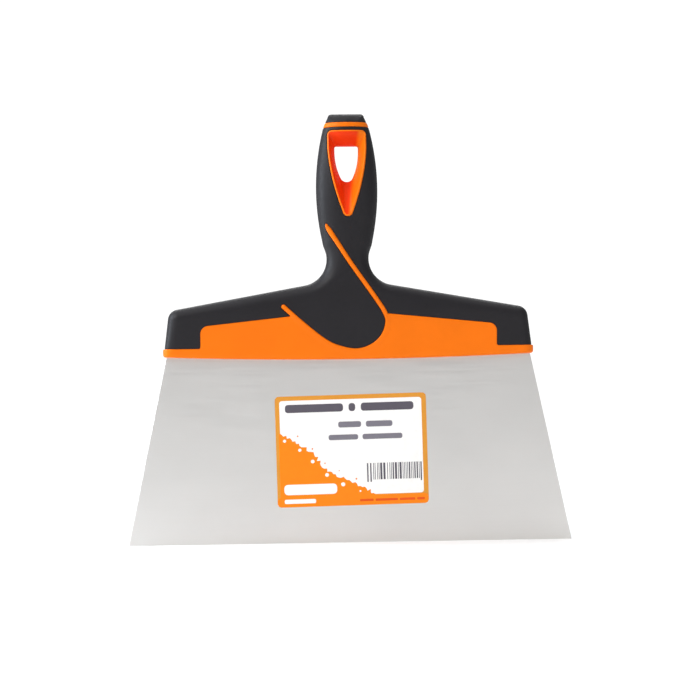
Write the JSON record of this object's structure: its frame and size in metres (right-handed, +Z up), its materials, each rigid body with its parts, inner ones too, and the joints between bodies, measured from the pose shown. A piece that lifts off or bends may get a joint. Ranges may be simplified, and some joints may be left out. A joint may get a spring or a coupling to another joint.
{
  "type": "flexible putty knife",
  "caption": "Wide filling and coating knife: trapezoid sprung steel blade held by a two-colour tee handle with a hanging eye.",
  "frame": {"origin": "where a hook bears in the hanging eye, at the top of its narrow hole, in the middle of the handle's thickness", "axes": "+X across the blade, towards the right of the front face; +Y from the front face to the back face; +Z up the handle, away from the blade's edge"},
  "size_m": [0.24, 0.0238, 0.2317],
  "materials": {
    "hard_core": "satin moulded polypropylene, orange",
    "soft_grip": "matte soft-touch elastomer, black",
    "blade_steel": "fine cross-brushed sprung steel",
    "rivet_metal": "plain aluminium",
    "label_paper": "printed paper sticker, white with an orange border"
  },
  "bodies": {
    "handle": {"handle_core": "hard_core", "soft_grip": "soft_grip", "soft_tip": "soft_grip", "blade_tang": "blade_steel", "rivet_end_left": "rivet_metal", "rivet_end_right": "rivet_metal", "rivet_tongue_left": "rivet_metal", "rivet_tongue_right": "rivet_metal", "rivet_neck": "rivet_metal"},
    "flexing_blade": {"blade": "blade_steel", "label": "label_paper"}
  },
  "joints": [
    {"name": "blade_flex", "type": "hinge", "parent": "handle", "child": "flexing_blade", "pos_m": [0, 0, -0.1302], "axis": [1, 0, 0], "range_deg": [-25, 25], "stiffness_Nm_per_rad": 10.5}
  ]
}
